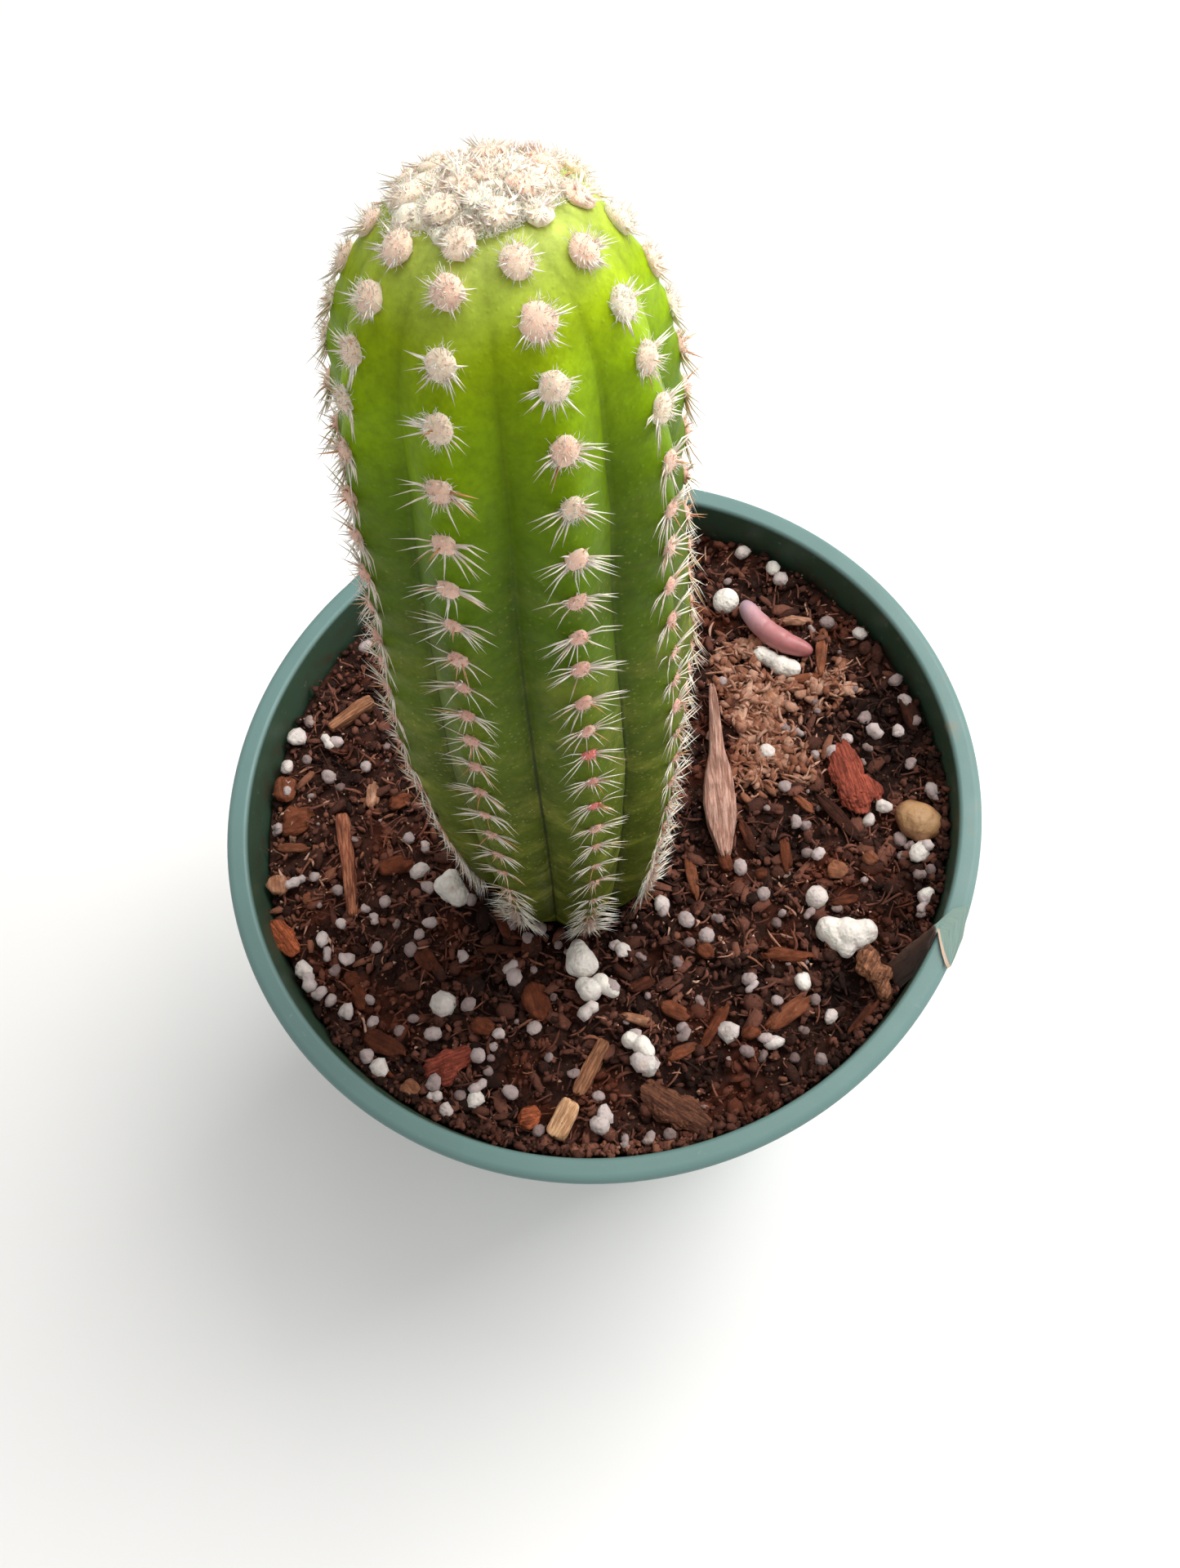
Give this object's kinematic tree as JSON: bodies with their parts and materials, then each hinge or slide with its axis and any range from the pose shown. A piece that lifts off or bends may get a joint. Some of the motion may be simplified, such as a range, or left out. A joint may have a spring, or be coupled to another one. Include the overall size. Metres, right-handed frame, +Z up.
{
  "type": "potted columnar cactus",
  "caption": "Single ribbed cactus stem with woolly areoles and short white spines, standing in potting mix with perlite and bark in a round tapered plastic nursery pot.",
  "frame": {"origin": "on the ground plane at the centre of the pot's foot ring", "axes": "+Z up the pot's axis; -Y towards the viewer, whom the stem leans to at its foot; +X to the right"},
  "size_m": [0.102, 0.102, 0.1947],
  "materials": {
    "pot": "satin moulded polypropylene, grey teal",
    "soil": "dark brown peat mix with perlite grains and bark fines",
    "cactus": "waxy green skin, cream felt areoles, white spines",
    "perlite": "chalky white, porous",
    "tan_wood": "raw tan splinters",
    "red_bark": "red-brown bark",
    "brown_bark": "dark brown bark",
    "pebble": "tan pebble, matt",
    "pink_skin": "smooth pink skin",
    "dry_husk": "thin dry papery leaf"
  },
  "bodies": {
    "root": {"pot": "pot", "soil": "soil", "cactus": "cactus", "perlite_lump_right": "perlite", "perlite_lump_pointed": "perlite", "perlite_lump_front": "perlite", "perlite_lump_left": "perlite", "perlite_lump_far": "perlite", "perlite_lump_under_bud": "perlite", "perlite_lump_centre_front": "perlite", "wood_sliver_beside_stem": "tan_wood", "wood_sliver_front": "tan_wood", "wood_sliver_near_rim": "tan_wood", "wood_sliver_left": "tan_wood", "bark_stick_left": "red_bark", "bark_flake_right": "red_bark", "bark_flake_front_left": "red_bark", "bark_flake_far_left": "red_bark", "bark_crumb_front": "red_bark", "bark_chunk_right": "brown_bark", "bark_slab_front": "brown_bark", "pebble": "pebble", "dropped_bud": "pink_skin", "torn_husk": "dry_husk"}
  },
  "joints": []
}
